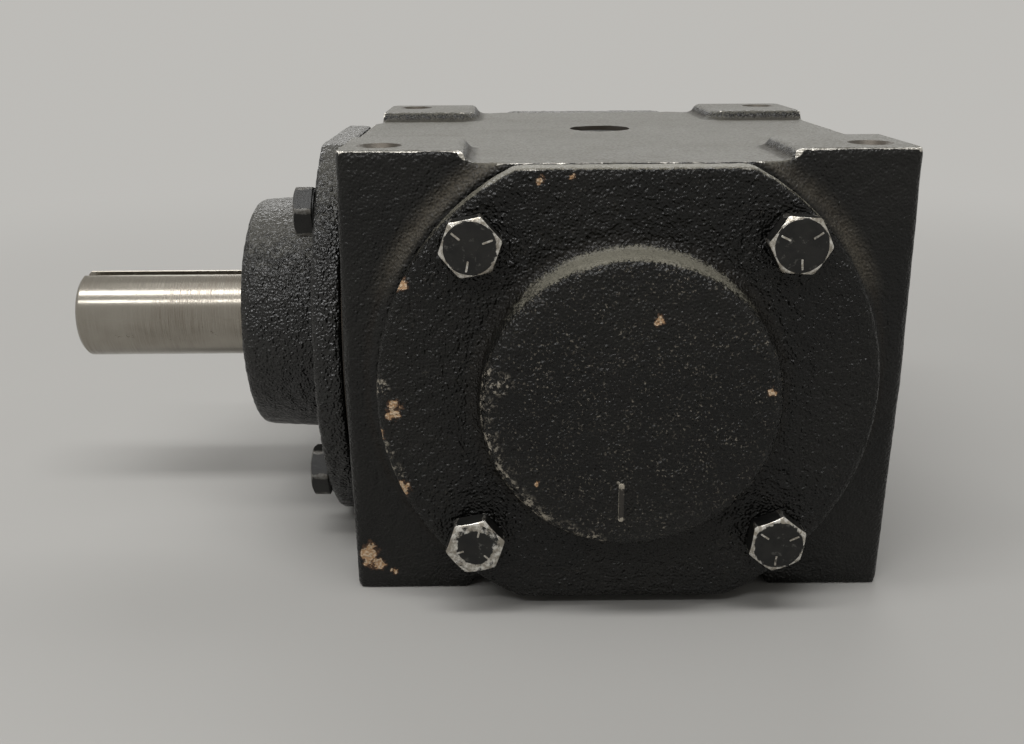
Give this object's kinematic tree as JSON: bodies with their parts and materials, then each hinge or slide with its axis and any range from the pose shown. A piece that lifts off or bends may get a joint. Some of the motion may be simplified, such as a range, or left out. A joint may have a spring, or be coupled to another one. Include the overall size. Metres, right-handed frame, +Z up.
{
  "type": "right angle gear reducer",
  "caption": "Boxy cast right angle bevel gear reducer with padded feet, round bolted covers, a blind bearing dome and keyed input and output shafts at a right angle.",
  "frame": {"origin": "centre of the four tapped holes in the bottom pads, on the plane the pads stand on", "axes": "+Z up, +Y along the output shaft, -X along the input shaft"},
  "size_m": [0.2518, 0.2776, 0.126],
  "materials": {
    "cast_paint": "rough black enamel over grey iron, chipped",
    "cover_paint": "rough black enamel over grey iron",
    "bolt_paint": "black enamel worn to steel on the corners",
    "gasket": "dark pressed fibre sheet",
    "plug_steel": "painted over",
    "shaft_steel": "bright turned steel",
    "gear_steel": "cut and hardened steel",
    "key_steel": "cold drawn steel",
    "spring_steel": "blackened spring steel",
    "bearing_steel": "ground bearing steel",
    "cage_steel": "pressed sheet steel",
    "seal_case": "pressed sheet steel",
    "seal_rubber": "moulded nitrile rubber"
  },
  "bodies": {
    "housing": {"housing": "cast_paint", "front_cover": "cover_paint", "input_carrier": "cover_paint", "output_cover": "cover_paint", "front_gasket": "gasket", "input_gasket": "gasket", "output_gasket": "gasket", "front_bolts": "bolt_paint", "input_bolts": "bolt_paint", "output_bolts": "bolt_paint", "fill_plug": "plug_steel", "drain_plug": "plug_steel", "input_seal_case": "seal_case", "input_seal_lip": "seal_rubber", "output_seal_case": "seal_case", "output_seal_lip": "seal_rubber", "input_inner_cup": "bearing_steel", "input_outer_cup": "bearing_steel", "output_front_cup": "bearing_steel", "output_rear_cup": "bearing_steel"},
    "input": {"input_shaft": "shaft_steel", "pinion": "gear_steel", "pinion_key": "key_steel", "pinion_ring": "spring_steel", "input_ring": "spring_steel", "input_spacer": "key_steel", "input_inner_cone": "bearing_steel", "input_outer_cone": "bearing_steel"},
    "output": {"output_shaft": "shaft_steel", "gear": "gear_steel", "gear_key": "key_steel", "gear_spacer": "key_steel", "output_front_cone": "bearing_steel", "output_rear_cone": "bearing_steel"},
    "input_inner_roller_set": {"input_inner_cage": "cage_steel", "input_inner_rollers": "bearing_steel"},
    "input_outer_roller_set": {"input_outer_cage": "cage_steel", "input_outer_rollers": "bearing_steel"},
    "output_front_roller_set": {"output_front_cage": "cage_steel", "output_front_rollers": "bearing_steel"},
    "output_rear_roller_set": {"output_rear_cage": "cage_steel", "output_rear_rollers": "bearing_steel"}
  },
  "joints": [
    {"name": "output_turn", "type": "hinge", "parent": "housing", "child": "output", "pos_m": [0, 0, 0.063], "axis": [0, 1, 0], "continuous": true},
    {"name": "input_turn", "type": "hinge", "parent": "housing", "child": "input", "pos_m": [0, 0, 0.063], "axis": [1, 0, 0], "continuous": true},
    {"name": "input_inner_roller_turn", "type": "hinge", "parent": "housing", "child": "input_inner_roller_set", "pos_m": [0, 0, 0.063], "axis": [1, 0, 0], "continuous": true},
    {"name": "input_outer_roller_turn", "type": "hinge", "parent": "housing", "child": "input_outer_roller_set", "pos_m": [0, 0, 0.063], "axis": [1, 0, 0], "continuous": true},
    {"name": "output_front_roller_turn", "type": "hinge", "parent": "housing", "child": "output_front_roller_set", "pos_m": [0, 0, 0.063], "axis": [0, 1, 0], "continuous": true},
    {"name": "output_rear_roller_turn", "type": "hinge", "parent": "housing", "child": "output_rear_roller_set", "pos_m": [0, 0, 0.063], "axis": [0, 1, 0], "continuous": true}
  ],
  "couplings": [
    {"joint": "input_turn", "follows": "output_turn", "ratio": -1.5},
    {"joint": "input_inner_roller_turn", "follows": "output_turn", "ratio": -0.63608},
    {"joint": "input_outer_roller_turn", "follows": "output_turn", "ratio": -0.63608},
    {"joint": "output_front_roller_turn", "follows": "output_turn", "ratio": 0.42405},
    {"joint": "output_rear_roller_turn", "follows": "output_turn", "ratio": 0.42405}
  ]
}
